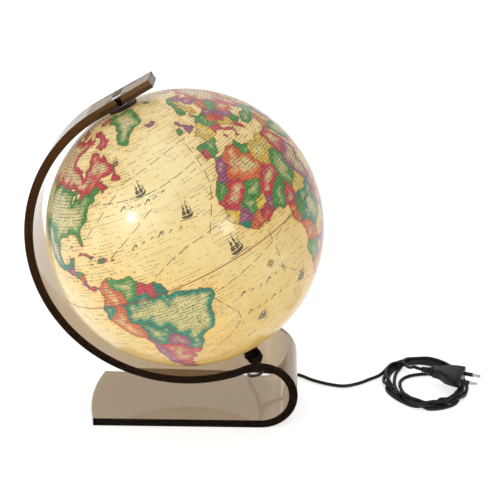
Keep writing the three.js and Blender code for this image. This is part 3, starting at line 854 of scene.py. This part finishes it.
def map_material():
    m = Material("map_shell")
    place = m.place()
    coast, border = m.attribute("coast"), m.attribute("border")
    tint = m.attribute("tint", out="Color")
    offset = m.node("ShaderNodeVectorMath", {"operation": "SUBTRACT"}, place, tuple(CENTRE))
    x, y, z = m.split(offset)
    c, s = math.cos(TILT), math.sin(TILT)
    east = x * c + z * s
    north = (z * c - x * s) / (R * MM)
    high = north.lowest(1.0).highest(-1.0)
    lat = m.node("ShaderNodeMath", {"operation": "ARCSINE"}, high) * (180 / math.pi)
    lon = m.node("ShaderNodeMath", {"operation": "ARCTAN2"}, east, 0 - y) * (180 / math.pi) + FACING
    slim = (lat * (math.pi / 180)).cos()

    cloudy = m.noise(30, 3, 0.55, place)
    speck = m.noise(620, 3, 0.65, place)
    grain = m.noise(1700, 2, 0.6, place)
    blotch = m.noise(150, 4, 0.6, place)
    land = coast.ramp(-0.15, 0.15)

    # Sea: parchment yellow, warmer towards the shores, with painted shade that darkens it towards the south
    # and painted light and sheen that pale it towards the north.
    shore = (coast.size() / 9.0).fall() * (1 - land)
    # painted light and shade: darker and more golden towards the south, paler and creamier towards the north,
    # following latitude on the ball
    painted_light_by_latitude = (lat + (cloudy - 0.5) * 70).ramp(-45, 38)
    sea = m.mix(painted_light_by_latitude, linear(216, 178, 88), linear(244, 225, 166))
    sea = m.mix(shore * 0.55, sea, linear(238, 186, 92))
    sea = m.mix((blotch.ramp(0.5, 0.75)) * 0.18, sea, linear(214, 176, 92))

    # Land: parchment with a band of ink along every border and shore, fading inwards.
    edge = border.lowest(coast.size())
    ragged = edge + (blotch - 0.5) * 12 + (speck - 0.5) * 7
    band = ragged.ramp(2.8, 7.6, 1.0, 0.14)
    # the land's paper carries the same painted shade to the south and painted light to the north
    paper = m.mix(painted_light_by_latitude, linear(212, 196, 112), linear(236, 216, 154))
    ground = m.mix(band, paper, tint)
    relief = speck.ramp(0.52, 0.60) * 0.62 + blotch.ramp(0.6, 0.8) * 0.12
    ground = m.mix(relief.lowest(1.0), ground, linear(74, 62, 38))
    colour = m.mix(land, sea, ground)

    # Names stand as rows of small dark marks along the latitudes, with no letter drawn.
    rows = lat / 1.25
    row = rows.part()
    in_row = (row > 0.30) * (row < 0.70)
    word_at = m.vector(lon * slim * 0.16, rows.whole() * 7.31, 0.0)
    word = m.noise(1.0, 2, 0.5, word_at) > (0.555 - land * 0.13 - shore * 0.10)
    mark_at = m.vector(lon * slim * 3.4, rows.whole() * 3.17 + row * 1.6, 0.0)
    mark = m.noise(1.0, 1, 0.5, mark_at).ramp(0.47, 0.56)
    names = in_row * word * mark
    colour = m.mix(names * (0.48 + shore * 0.5 + land * 0.46).lowest(0.94), colour, linear(40, 32, 22))

    # Short dashes for currents and place names set out from the shores.
    strip = (coast > -26.0) * (coast < -3.0)
    dash_rows = (lat / 2.1 + 0.12 * cloudy).part()
    dash = (dash_rows > 0.42) * (dash_rows < 0.56)
    dash_at = m.vector(lon * slim * 0.30, (lat / 2.1).whole() * 5.77, 3.0)
    dash_on = m.noise(1.0, 3, 0.7, dash_at).ramp(0.55, 0.60)
    colour = m.mix(strip * dash * dash_on * 0.75, colour, linear(112, 76, 40))

    # Ruled and printed lines.
    def ruled(value, every, half_width):
        away = ((value / every + 0.5).part() - 0.5).size() * every
        return away.ramp(half_width * 0.4, half_width * 1.6, 1.0, 0.0)

    grid = ruled(lat, 15.0, 0.16).highest(ruled(lon, 15.0, 0.17) * (slim > 0.12))
    colour = m.mix(grid * 0.18, colour, linear(150, 116, 70))
    equator = lat.size().ramp(0.10, 0.34, 1.0, 0.0)
    colour = m.mix(equator * 0.8, colour, linear(146, 62, 26))
    river = m.noise(36, 5, 0.6, place)
    rivers = (river - 0.5).size().ramp(0.003, 0.007, 1.0, 0.0) * land
    colour = m.mix(rivers * 0.35, colour, linear(84, 104, 110))
    borders = border.ramp(0.25, 0.75, 1.0, 0.0) * land
    colour = m.mix(borders * 0.7, colour, linear(120, 62, 46))
    shores = coast.size().ramp(0.2, 0.75, 1.0, 0.0)
    colour = m.mix(shores * 0.72, colour, linear(92, 74, 52))

    m.set(Base_Color=colour, Roughness=(grain - 0.5) * 0.05 + 0.42, Coat_Weight=0.75, Coat_Roughness=0.16,
          Specular_IOR_Level=0.2, Normal=m.bump(blotch, 0.00005, 0.25))
    return m.material


# ---------------------------------------------------------------- printed ornaments
# Ships in the open seas: longitude, latitude, height in mm and lean in degrees.
SHIPS = [(-45, 40, 17, -5), (-20, 5, 21, -5), (-30, 25, 17, 10), (-20, -30, 15, 25), (5, -25, 17, 20),
         (-55, 55, 11, 0), (-120, -5, 17, 0), (-150, 20, 17, 0), (170, -25, 17, 10),
         (75, -25, 17, -10), (160, 35, 15, 0), (-105, -40, 16, 5), (20, -50, 15, 0)]
# One ship in units of its height: hull, sails and pennants as small filled shapes.
SHIP_SHAPES = [
    [(-0.36, 0.16), (-0.30, 0.04), (-0.16, 0.0), (0.0, 0.0), (0.0, 0.15)],
    [(0.0, 0.0), (0.18, 0.02), (0.30, 0.10), (0.38, 0.30), (0.27, 0.20), (0.0, 0.15)],
    [(-0.30, 0.22), (-0.06, 0.22), (-0.05, 0.40), (-0.14, 0.47), (-0.25, 0.42)],
    [(-0.02, 0.20), (0.20, 0.24), (0.19, 0.44), (0.08, 0.52), (0.0, 0.44)],
    [(-0.22, 0.50), (-0.06, 0.50), (-0.06, 0.64), (-0.14, 0.68)],
    [(0.02, 0.55), (0.15, 0.56), (0.13, 0.72), (0.04, 0.75)],
    [(0.22, 0.36), (0.31, 0.38), (0.25, 0.55)],
]
SHIP_LINES = [[(-0.14, 0.1), (-0.14, 0.84)], [(0.08, 0.1), (0.08, 1.0)], [(0.28, 0.2), (0.25, 0.66)],
              [(0.08, 0.98), (0.2, 0.94)], [(-0.5, -0.03), (-0.3, -0.06), (0.1, -0.04), (0.5, -0.07)]]
WAVE_CURL = [(-2.6, -0.6), (-1.4, 0.1), (-0.3, 1.4), (0.7, 1.9), (1.5, 1.3), (1.3, 0.5), (0.7, 0.6)]
# Rows of wave crests: longitude and latitude of the first, how many, and how far the row bows.
WAVE_ROWS = [(-55, 35, 6, -1), (-55, 20, 6, 1), (-25, -15, 6, -1), (-25, -25, 6, 0), (-150, -10, 5, -1),
             (70, -10, 5, -1), (-100, 25, 4, 1), (160, -10, 4, 1)]
WAVE_STEP = 4
# Sailing routes between ports and capes, each through a point or two at sea.
ROUTES = [
    [(-12, 50), (-30, 48), (-50, 45)],          # Ireland to Newfoundland
    [(-10, 40), (-40, 37), (-70, 40)],          # Lisbon to the north-east coast
    [(-75, 30), (-60, 40)],                     # Florida to Nova Scotia
    [(-18, 15), (-40, 12), (-50, 8)],           # Cape Verde to Guiana
    [(-33, -8), (-15, -5), (5, 0)],             # Brazil to the Gulf of Guinea
    [(-5, 0), (-5, -15)],                       # down to Saint Helena
    [(-5, -15), (10, -30)],                     # on to the Cape
    [(-12, 45), (-15, 30), (-25, 15)],          # down the coast of Africa
    [(-35, -12), (-30, -25), (-50, -38)],       # along Brazil to the Plate
    [(-20, -35), (-45, -45)], [(-65, 20), (-45, 30)], [(-95, -5), (-110, 10)], [(-85, -20), (-125, -20)],
    [(60, -10), (75, -30)], [(-160, 30), (-135, 40)], [(150, 10), (170, 0)], [(95, -15), (110, -35)],
]
DASH_STEP = 14.5             # mm from one dash of a route to the next
ROSES = [(-10, -10, 5.5), (-95, -50, 6), (85, -40, 6), (-170, 0, 6)]
LIFT, SUNK = 0.11, -0.3      # mm that the print stands proud of the shell, and reaches into it


class Mark:
    """One ornament drawn flat round its own middle, to be set out over the ball."""

    def __init__(self):
        self.vertices, self.lifts, self.faces = [], [], []

    def fill(self, shape, lift=LIFT):
        first, count = len(self.vertices), len(shape)
        area = sum(p[0] * q[1] - q[0] * p[1] for p, q in zip(shape, shape[1:] + shape[:1]))
        if area < 0:
            shape = shape[::-1]
        self.vertices += [(x * MM, y * MM, 0) for x, y in shape] * 2
        self.lifts += [lift * MM] * count + [SUNK * MM] * count
        self.faces.append(tuple(range(first, first + count)))
        self.faces.append(tuple(reversed(range(first + count, first + 2 * count))))
        for k in range(count):
            n = (k + 1) % count
            self.faces.append((first + n, first + k, first + count + k, first + count + n))

    def stroke(self, line, width):
        """A drawn line of one width, each straight a closed strip that overlaps the next."""
        for p, q in zip(line, line[1:]):
            run = math.hypot(q[0] - p[0], q[1] - p[1])
            ax, ay = (q[0] - p[0]) / run, (q[1] - p[1]) / run
            sx, sy = -ay * width / 2, ax * width / 2
            over = width / 4
            a = (p[0] - ax * over, p[1] - ay * over)
            b = (q[0] + ax * over, q[1] + ay * over)
            self.fill([(a[0] - sx, a[1] - sy), (b[0] - sx, b[1] - sy),
                       (b[0] + sx, b[1] + sy), (a[0] + sx, a[1] + sy)], LIFT * 0.8)

    def held(self):
        """The mark as a loose object that a layout can set out."""
        mark = loose_mesh("mark", self.vertices, [], self.faces)
        lift = mark.data.attributes.new("lift", "FLOAT", "POINT")
        lift.data.foreach_set("value", self.lifts)
        return mark


def ship_mark():
    mark = Mark()
    for shape in SHIP_SHAPES:
        mark.fill([(x, y - 0.45) for x, y in shape])
    for line in SHIP_LINES:
        split = [tuple(p[:2]) for p in evenly(np.array([(x, y - 0.45, 0.0) for x, y in line]), 0.25)]
        mark.stroke(split, 0.035)
    return mark


def wave_mark():
    mark = Mark()
    mark.stroke(WAVE_CURL, 0.75)
    return mark


def rose_mark():
    """A compass rose of radius 1 with four long points, four short ones and a ring."""
    mark = Mark()
    mark.stroke([(0.62 * math.cos(a), 0.62 * math.sin(a)) for a in np.linspace(0, 2 * math.pi, 17)], 0.1)
    for k in range(8):
        a = math.pi * k / 4
        corners = ((0.22, a + 0.5), (0.22, a - 0.5), (1.0 if k % 2 == 0 else 0.6, a))
        mark.fill([(r * math.cos(t), r * math.sin(t)) for r, t in corners])
    return mark


def dash_mark():
    mark = Mark()
    mark.stroke([(x, 0.0) for x in (-6, -2, 2, 6)], 0.62)
    return mark


def wave_crests():
    """Places and sizes of the crests: each row is an arc, every third crest larger."""
    crests = []
    for lon, lat, count, bow in WAVE_ROWS:
        for k in range(count):
            rise = bow * math.sin(math.pi * k / (count - 1))
            crests.append((lon + WAVE_STEP * k, lat + rise, 1.4 if k % 3 == 0 else 0.8, 0))
    return crests


def print_layout(name, along):
    """Sets one mark at each point of the guide, or in steps along its lines, and bends it to the ball."""
    tree = Layout(name)
    mark, centre = tree.input("Mark", "Object"), tree.input("Centre", "Vector")
    radius, pole = tree.input("Radius", "Float"), tree.input("Pole", "Vector")
    step, ink = tree.input("Step", "Float"), tree.input("Ink", "Material")

    def outward():
        at = tree.node("GeometryNodeInputPosition", {})
        return tree.vector_math("NORMALIZE", tree.vector_math("SUBTRACT", at, centre))

    def number(called):
        return tree.node("GeometryNodeInputNamedAttribute", {"data_type": "FLOAT"}, called)

    upright = tree.node("FunctionNodeAlignRotationToVector", {"axis": "Z"}, Vector=outward())
    if along:
        curve = tree.node("GeometryNodeMeshToCurve", {}, tree.guide)
        points = tree.node("GeometryNodeResampleCurve", {"mode": "LENGTH"}, Curve=curve, Length=step)
        facing = tree.node("FunctionNodeAlignRotationToVector", {"axis": "X", "pivot_axis": "Z"},
                           Rotation=upright, Vector=tree.node("GeometryNodeInputTangent", {}))
        size = 1.0
    else:
        points = tree.guide
        north = tree.node("FunctionNodeAlignRotationToVector", {"axis": "Y", "pivot_axis": "Z"},
                          Rotation=upright, Vector=pole)
        lean = tree.node("FunctionNodeEulerToRotation", {},
                         tree.node("ShaderNodeCombineXYZ", {}, 0.0, 0.0, number("lean")))
        facing = tree.node("FunctionNodeRotateRotation", {"rotation_space": "LOCAL"}, north, lean)
        size = number("size")
    scale = tree.node("ShaderNodeCombineXYZ", {}, size, size, 1.0)
    shape = tree.node("GeometryNodeObjectInfo", {}, mark, out="Geometry")
    marks = tree.node("GeometryNodeInstanceOnPoints", {}, Points=points, Instance=shape, Rotation=facing,
                      Scale=scale)
    whole = tree.node("GeometryNodeRealizeInstances", {}, marks)
    out = tree.node("ShaderNodeVectorMath", {"operation": "SCALE"}, outward(), Scale=number("lift") + radius)
    on_shell = tree.vector_math("ADD", out, centre)
    bent = tree.node("GeometryNodeSetPosition", {}, Geometry=whole, Position=on_shell)
    return tree.finish(bent, ink)


def printed_marks(name, mark, guide, layout, ink):
    shape = mark.held()
    layout.run(guide, Mark=shape, Centre=tuple(CENTRE), Radius=R * MM, Pole=tuple(AXIS), Step=DASH_STEP * MM,
               Ink=ink)
    bpy.data.objects.remove(shape)
    guide.name = name
    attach(guide, "globe")


def place_on_shell(lon, lat):
    x, y, z = on_ball(lon - FACING - 90, lat)
    c, s = math.cos(TILT), math.sin(TILT)
    return CENTRE + Vector((x * c - z * s, y, x * s + z * c)) * R * MM


def ornaments(ink):
    layout = print_layout("marks on a ball", False)
    roses = [(lon, lat, size, 0) for lon, lat, size in ROSES]
    for name, mark, places in (("printed_ships", ship_mark(), SHIPS),
                               ("printed_waves", wave_mark(), wave_crests()),
                               ("printed_roses", rose_mark(), roses)):
        guide = loose_mesh(name, [place_on_shell(lon, lat) for lon, lat, _, _ in places], [], [])
        sizes, leans = [p[2] for p in places], [-math.radians(p[3]) for p in places]
        for attribute, values in (("size", sizes), ("lean", leans)):
            guide.data.attributes.new(attribute, "FLOAT", "POINT").data.foreach_set("value", values)
        printed_marks(name, mark, guide, layout, ink)
    points, edges = [], []
    for route in ROUTES:
        line = through([(lon, lat, 0.0) for lon, lat in route], 2.0)
        edges += [(len(points) + k, len(points) + k + 1) for k in range(len(line) - 1)]
        points += [place_on_shell(lon, lat) for lon, lat, _ in line]
    guide = loose_mesh("printed_routes", points, edges, [])
    printed_marks("printed_routes", dash_mark(), guide, print_layout("dashes on a ball", True), ink)


def ink_material():
    m = Material("map_ink")
    place = m.place()
    worn = m.noise(520, 3, 0.65, place)
    m.set(Base_Color=m.mix(worn.ramp(0.40, 0.66), linear(44, 37, 28), linear(120, 100, 70)),
          Roughness=worn * 0.1 + 0.32, Coat_Weight=0.5, Coat_Roughness=0.16)
    return m.material


# ---------------------------------------------------------------- other materials
def black_material(name, colour, rough, grain_size, grain_depth):
    """Moulded black plastic or rubber: a fine grain and faint handling marks."""
    m = Material(name)
    place = m.place()
    grain = m.noise(grain_size, 3, 0.6, place)
    worn = m.noise(70, 3, 0.55, place)
    dark = tuple(v * 0.55 for v in colour)
    m.set(Base_Color=m.mix(worn.ramp(0.3, 0.7), dark, colour),
          Roughness=worn * 0.16 + grain * 0.1 + (rough - 0.13), Specular_IOR_Level=0.3,
          Normal=m.bump(grain, grain_depth, 0.6))
    return m.material


def metal_material(name, colour, dull, rough):
    m = Material(name)
    place = m.place()
    stain = m.noise(110, 4, 0.6, place)
    hair = m.noise(2600, 2, 0.5, place)
    m.set(Base_Color=m.mix(stain.ramp(0.4, 0.75), colour, dull), Metallic=1.0,
          Roughness=stain * 0.2 + hair * 0.12 + (rough - 0.16), Normal=m.bump(hair, 0.00002, 0.5))
    return m.material


def pale_material(name, colour, dull, rough):
    m = Material(name)
    place = m.place()
    stain = m.noise(85, 4, 0.6, place)
    m.set(Base_Color=m.mix(stain.ramp(0.45, 0.75), colour, dull), Roughness=stain * 0.15 + (rough - 0.07),
          Normal=m.bump(stain, 0.00003, 0.4))
    return m.material


def glass_material():
    m = Material("bulb_glass")
    place = m.place()
    frost = m.noise(240, 3, 0.6, place)
    m.set(Base_Color=m.mix(frost.ramp(0.4, 0.7), (0.95, 0.95, 0.93), (0.84, 0.84, 0.8)),
          Transmission_Weight=0.9, IOR=1.46, Roughness=frost * 0.2 + 0.22)
    return m.material


def turned_on_plug(name, profile, material, side=0.0, sides=40):
    """A turned piece along the plug's x from [radius, x] points in mm, closed on itself."""
    vertices = []
    for i in range(sides):
        a = 2 * math.pi * i / sides
        for r, x in profile:
            r = max(r, THIN)
            vertices.append(plug_point(x, side + r * math.cos(a), r * math.sin(a)) * MM)
    piece = new_piece(name, vertices, ring_faces(len(profile), sides), material, "stand")
    fix_faces(piece, WELD)
    mark_sharp(piece, 35)
    return piece


def relief_ribs(black):
    """Rings round the strain relief, each a little wider than the one before it."""
    tree = Layout("ribs on a relief")
    count, spacing = tree.input("Ribs", "Int"), tree.input("Spacing", "Float")
    radius, growth = tree.input("Radius", "Float"), tree.input("Growth", "Float")
    high, wide = tree.input("Rib height", "Float"), tree.input("Rib width", "Float")
    start, place = tree.input("First rib", "Vector"), tree.input("Place", "Vector")
    turn, finish = tree.input("Turn", "Vector"), tree.input("Finish", "Material")
    step = tree.node("ShaderNodeCombineXYZ", {}, spacing)
    line = tree.node("GeometryNodeMeshLine", {}, Count=count, Start_Location=start, Offset=step)
    circle = tree.node("GeometryNodeCurvePrimitiveCircle", {}, Resolution=40, Radius=radius)
    section = tree.node("GeometryNodeCurvePrimitiveQuadrilateral", {}, Width=high, Height=wide)
    ring = tree.node("GeometryNodeCurveToMesh", {}, Curve=circle, Profile_Curve=section)
    wider = tree.node("GeometryNodeInputIndex", {}) * growth + 1.0
    size = tree.node("ShaderNodeCombineXYZ", {}, wider, wider, 1.0)
    rings = tree.node("GeometryNodeInstanceOnPoints", {}, Points=line, Instance=ring,
                      Rotation=(0, math.pi / 2, 0), Scale=size)
    whole = tree.node("GeometryNodeRealizeInstances", {}, rings)
    placed = tree.node("GeometryNodeTransform", {}, Geometry=whole, Translation=place, Rotation=turn)
    tree.finish(placed, finish)
    ribs = loose_mesh("plug_relief_ribs", [], [], [])
    tree.run(ribs, Ribs=4, Spacing=2.6 * MM, Radius=2.85 * MM, Growth=0.088, Rib_height=1.1 * MM,
             Rib_width=1.6 * MM, First_rib=(-4.6 * MM, 0, 0), Place=tuple(PLUG_AT * MM),
             Turn=(0, 0, PLUG_TURN), Finish=black)
    fix_faces(ribs)
    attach(ribs, "stand")
    return ribs


def plug_pieces(black, steel):
    """The moulded body, the ribbed collar and two sleeved pins."""
    stations = [(8, 5.6, 5.2), (9, 6.2, 5.9), (14, 6.6, 6.2), (18, 7.6, 6.6), (22, 11.0, 7.0),
                (25, 13.6, 7.2), (29, 15.2, 7.3), (36, 16.6, 7.3), (42.5, 17.0, 7.3), (44, 16.2, 6.5)]
    vertices, faces = [], []
    around, power = 48, 0.34         # points round each section, and how square it is
    for x, half_y, half_z in stations:
        for k in range(around):
            a = 2 * math.pi * k / around
            cy, cz = math.cos(a), math.sin(a)
            vertices.append(plug_point(x, half_y * math.copysign(abs(cy) ** power, cy),
                                       half_z * math.copysign(abs(cz) ** power, cz)) * MM)
    for i in range(len(stations) - 1):
        for k in range(around):
            a, b = i * around + k, i * around + (k + 1) % around
            faces.append((a, b, b + around, a + around))
    faces.append(tuple(reversed(range(around))))
    faces.append(tuple(range((len(stations) - 1) * around, len(stations) * around)))
    body = new_piece("plug_shell", vertices, faces, black, "stand")
    fix_faces(body)
    soften_edges(body, 0.0007, 2, 40)
    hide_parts("plug_body")

    profile = [(0, -6), (2.6, -6), (3.6, 4.2), (4.2, 4.6), (6.0, 5.2), (6.4, 6.2), (6.2, 7.4), (5.6, 7.9),
               (0, 7.9)]
    collar = turned_on_plug("plug_relief", profile, black)
    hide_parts("plug_collar")
    ribs = relief_ribs(black)
    pins = []
    sleeve_line = [(0, 43.9), (2.4, 43.9), (2.4, 53.7), (2.2, 54), (0, 54)]
    metal_line = [(0, 53.9), (2, 53.9), (2, 61.4), (1.7, 62.4), (1.1, 63), (0, 63)]
    for side, y in (("near", -9.5), ("far", 9.5)):
        sleeve = turned_on_plug("plug_sleeve_" + side, sleeve_line, black, y, 28)
        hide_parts("plug_pin_sleeve_" + side)
        metal = turned_on_plug("plug_blade_" + side, metal_line, steel, y, 28)
        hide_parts("plug_pin_" + side)
        pins += [sleeve, metal]
    return [body, collar, ribs] + pins


def gland_piece(black):
    """The flexible bush that grips the cord under the sheet, with its grooves."""
    profile = [(2.2, -176.8), (8, -176.8), (8.6, -177.6), (8.6, -180.5), (7.9, -181), (7.9, -181.8),
               (8.6, -182.3), (8.6, -184.5), (7.5, -186.2), (6.4, -187.5), (5.2, -189.4), (4.6, -190),
               (2.2, -190)]
    gland = turned("gland_bush", profile, black, "stand", 56)
    mark_sharp(gland, 35)
    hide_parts("cord_gland")


# ---------------------------------------------------------------- floor and light
def stage_material(name, colour, glow):
    m = Material(name)
    place = m.place()
    cloud = m.noise(3, 2, 0.5, place)
    m.set(Base_Color=m.mix(cloud, colour, tuple(v * 0.985 for v in colour)), Roughness=0.8,
          Emission_Color=(1.0, 1.0, 1.0), Emission_Strength=glow)
    return m.material


# Round boxes by turn and rise in degrees round the ball, size in metres and watts; then square panels.
SOFTBOXES = [("left", -42.0, 25.0, 0.17, 4.5), ("left_wide", -44.0, 27.0, 1.3, 5.0),
             ("right", 38.5, 21.0, 0.42, 3.6)]
SOFTBOX_AWAY = 1.9
PANELS = [("above", (0.0, 0.2, 1.7), 1.6, 6.0), ("behind", (-0.2, 1.9, 1.1), 1.8, 5.0)]


def softbox(name, away, shape, size, watts):
    """A soft lamp that stands at a place seen from the ball's middle and faces it."""
    data = bpy.data.lights.new("softbox_" + name, "AREA")
    data.shape, data.size, data.energy = shape, size, watts
    lamp = bpy.data.objects.new("softbox_" + name, data)
    lamp.location = CENTRE + away
    lamp.rotation_euler = (-away).to_track_quat("-Z", "Y").to_euler()
    bpy.context.collection.objects.link(lamp)
    return lamp


def add_stage():
    mesh = bpy.data.meshes.new("floor")
    reach = 9.0                         # metres from the middle to each side
    under = -0.0003                     # a thin film of air is left below the polished foot
    mesh.from_pydata([(-reach, -reach, under), (reach, -reach, under), (reach, reach, under),
                      (-reach, reach, under)], [], [(0, 1, 2, 3)])
    mesh.materials.append(stage_material("pale_floor", (0.7, 0.7, 0.7), 0.62))
    floor = bpy.data.objects.new("floor", mesh)
    bpy.context.collection.objects.link(floor)

    world = bpy.data.worlds.new("studio")
    world.use_nodes = True
    world.node_tree.nodes["Background"].inputs["Color"].default_value = (1, 1, 1, 1)
    world.node_tree.nodes["Background"].inputs["Strength"].default_value = 0.55
    bpy.context.scene.world = world

    for name, turn, rise, size, watts in SOFTBOXES:
        a, e = math.radians(turn), math.radians(rise)
        away = Vector((math.sin(a) * math.cos(e), -math.cos(a) * math.cos(e), math.sin(e))) * SOFTBOX_AWAY
        softbox(name, away, "DISK", size, watts)
    for name, away, size, watts in PANELS:
        softbox(name, Vector(away), "SQUARE", size, watts)
    bpy.context.scene.view_settings.view_transform = "Standard"


# ---------------------------------------------------------------- everything together
add_camera()
add_stage()

black = black_material("black_plastic", (0.009, 0.0085, 0.0085), 0.36, 1500, 0.00004)
rubber = black_material("soft_rubber", (0.022, 0.021, 0.021), 0.55, 1100, 0.00006)
jacket = black_material("cord_jacket", (0.008, 0.0075, 0.0075), 0.38, 800, 0.00005)
steel = metal_material("steel", (0.62, 0.62, 0.60), (0.40, 0.39, 0.37), 0.28)
brass = metal_material("brass", (0.70, 0.48, 0.20), (0.42, 0.27, 0.11), 0.3)
blacked = metal_material("blackened_steel", (0.022, 0.02, 0.018), (0.012, 0.011, 0.01), 0.45)
nylon = pale_material("nylon", (0.66, 0.65, 0.60), (0.54, 0.52, 0.46), 0.45)
porcelain = pale_material("porcelain", (0.78, 0.76, 0.71), (0.66, 0.63, 0.56), 0.22)
glass = glass_material()
acrylic = acrylic_material()

plug = plug_pieces(black, steel)
line = cord_line() * MM
cord = swept("lamp_cord", line, D / 2 * MM, 10, jacket, "stand")
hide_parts("mains_cord", "cord_coil")

acrylic_sheet(acrylic)
gland_piece(black)

MADE = {
    "steel": ["pin_retaining_ring", "inner_nut", "bulb_cap", "bulb_tip", "bulb_filament"],
    "blackened_steel": ["north_pivot_pin", "lower_washer", "lock_nut"],
    "nylon": ["north_washer", "equator_joint_ring"],
    "black_plastic": ["polar_cap_disc", "north_bush", "south_bearing_ring", "holder_sleeve", "holder_flange"],
    "soft_rubber": ["seat_washer"],
    "cord_jacket": ["cord_lead"],
    "brass": ["threaded_nipple", "thread_shell", "centre_contact"],
    "porcelain": ["holder_insulator"],
    "bulb_glass": ["bulb_glass", "bulb_stem"],
}
LOOK = {"steel": steel, "blackened_steel": blacked, "nylon": nylon, "black_plastic": black,
        "soft_rubber": rubber, "cord_jacket": jacket, "brass": brass, "porcelain": porcelain,
        "bulb_glass": glass}
for look, names in MADE.items():
    for name in names:
        node = NODES[name]
        node.data.materials.clear()
        node.data.materials.append(LOOK[look])

printed = map_material()
atlas = Atlas()
half_globe("north_map", "north_hemisphere", atlas, printed, True, 6.0)
half_globe("south_map", "south_hemisphere", atlas, printed, False, 24.0)
ornaments(ink_material())
